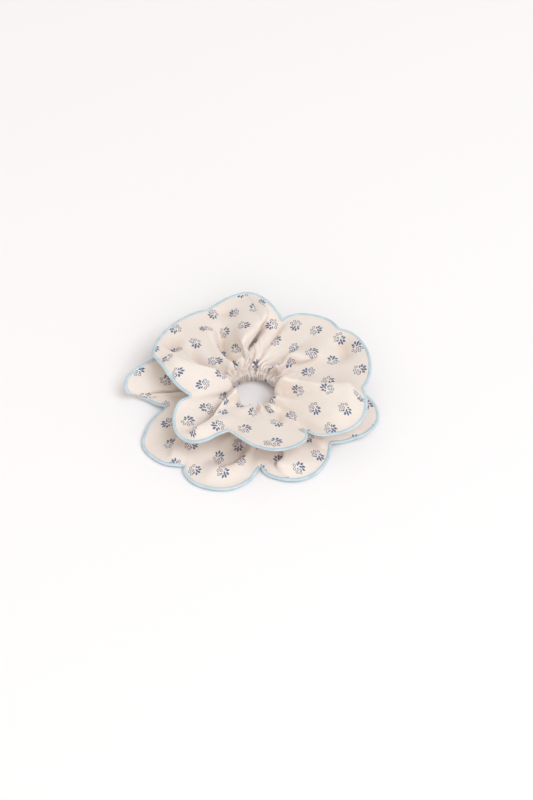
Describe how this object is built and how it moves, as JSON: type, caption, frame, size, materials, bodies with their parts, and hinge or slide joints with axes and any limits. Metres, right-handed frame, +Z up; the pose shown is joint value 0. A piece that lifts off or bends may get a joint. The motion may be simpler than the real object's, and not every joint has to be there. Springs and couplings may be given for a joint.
{
  "type": "scrunchie",
  "caption": "Gathered cloth hair scrunchie with an elastic core and two scalloped ruffles edged in contrast thread; the ring stretches open to take a ponytail.",
  "frame": {"origin": "centre of the hole, on the surface that the scrunchie lies on", "axes": "+Z up along the hole, towards the upper ruffle; +X is the way the ring is pulled open; the front is towards -Y"},
  "size_m": [0.1628, 0.1514, 0.0328],
  "materials": {
    "printed_cotton": "cream plain-weave cotton with a small navy sprig print, matt",
    "edge_thread": "pale blue textured overlock thread, slight sheen",
    "sewing_thread": "cream spun polyester sewing thread",
    "braided_elastic": "white braided elastic, matt"
  },
  "bodies": {
    "left_half": {"face_strip_left": "printed_cotton", "back_strip_left": "printed_cotton", "upper_edge_thread_left": "edge_thread", "lower_edge_thread_left": "edge_thread", "upper_channel_stitches_left": "sewing_thread", "lower_channel_stitches_left": "sewing_thread", "elastic_band": "braided_elastic", "elastic_join_stitches": "sewing_thread", "face_strip_seam": "printed_cotton", "back_strip_seam": "printed_cotton"},
    "right_half": {"face_strip_right": "printed_cotton", "back_strip_right": "printed_cotton", "upper_edge_thread_right": "edge_thread", "lower_edge_thread_right": "edge_thread", "upper_channel_stitches_right": "sewing_thread", "lower_channel_stitches_right": "sewing_thread"}
  },
  "joints": [
    {"name": "stretch", "type": "slide", "parent": "left_half", "child": "right_half", "axis": [1, 0, 0], "range_m": [0, 0.06], "stiffness_N_per_m": 80, "deforming": ["elastic_band"]}
  ]
}
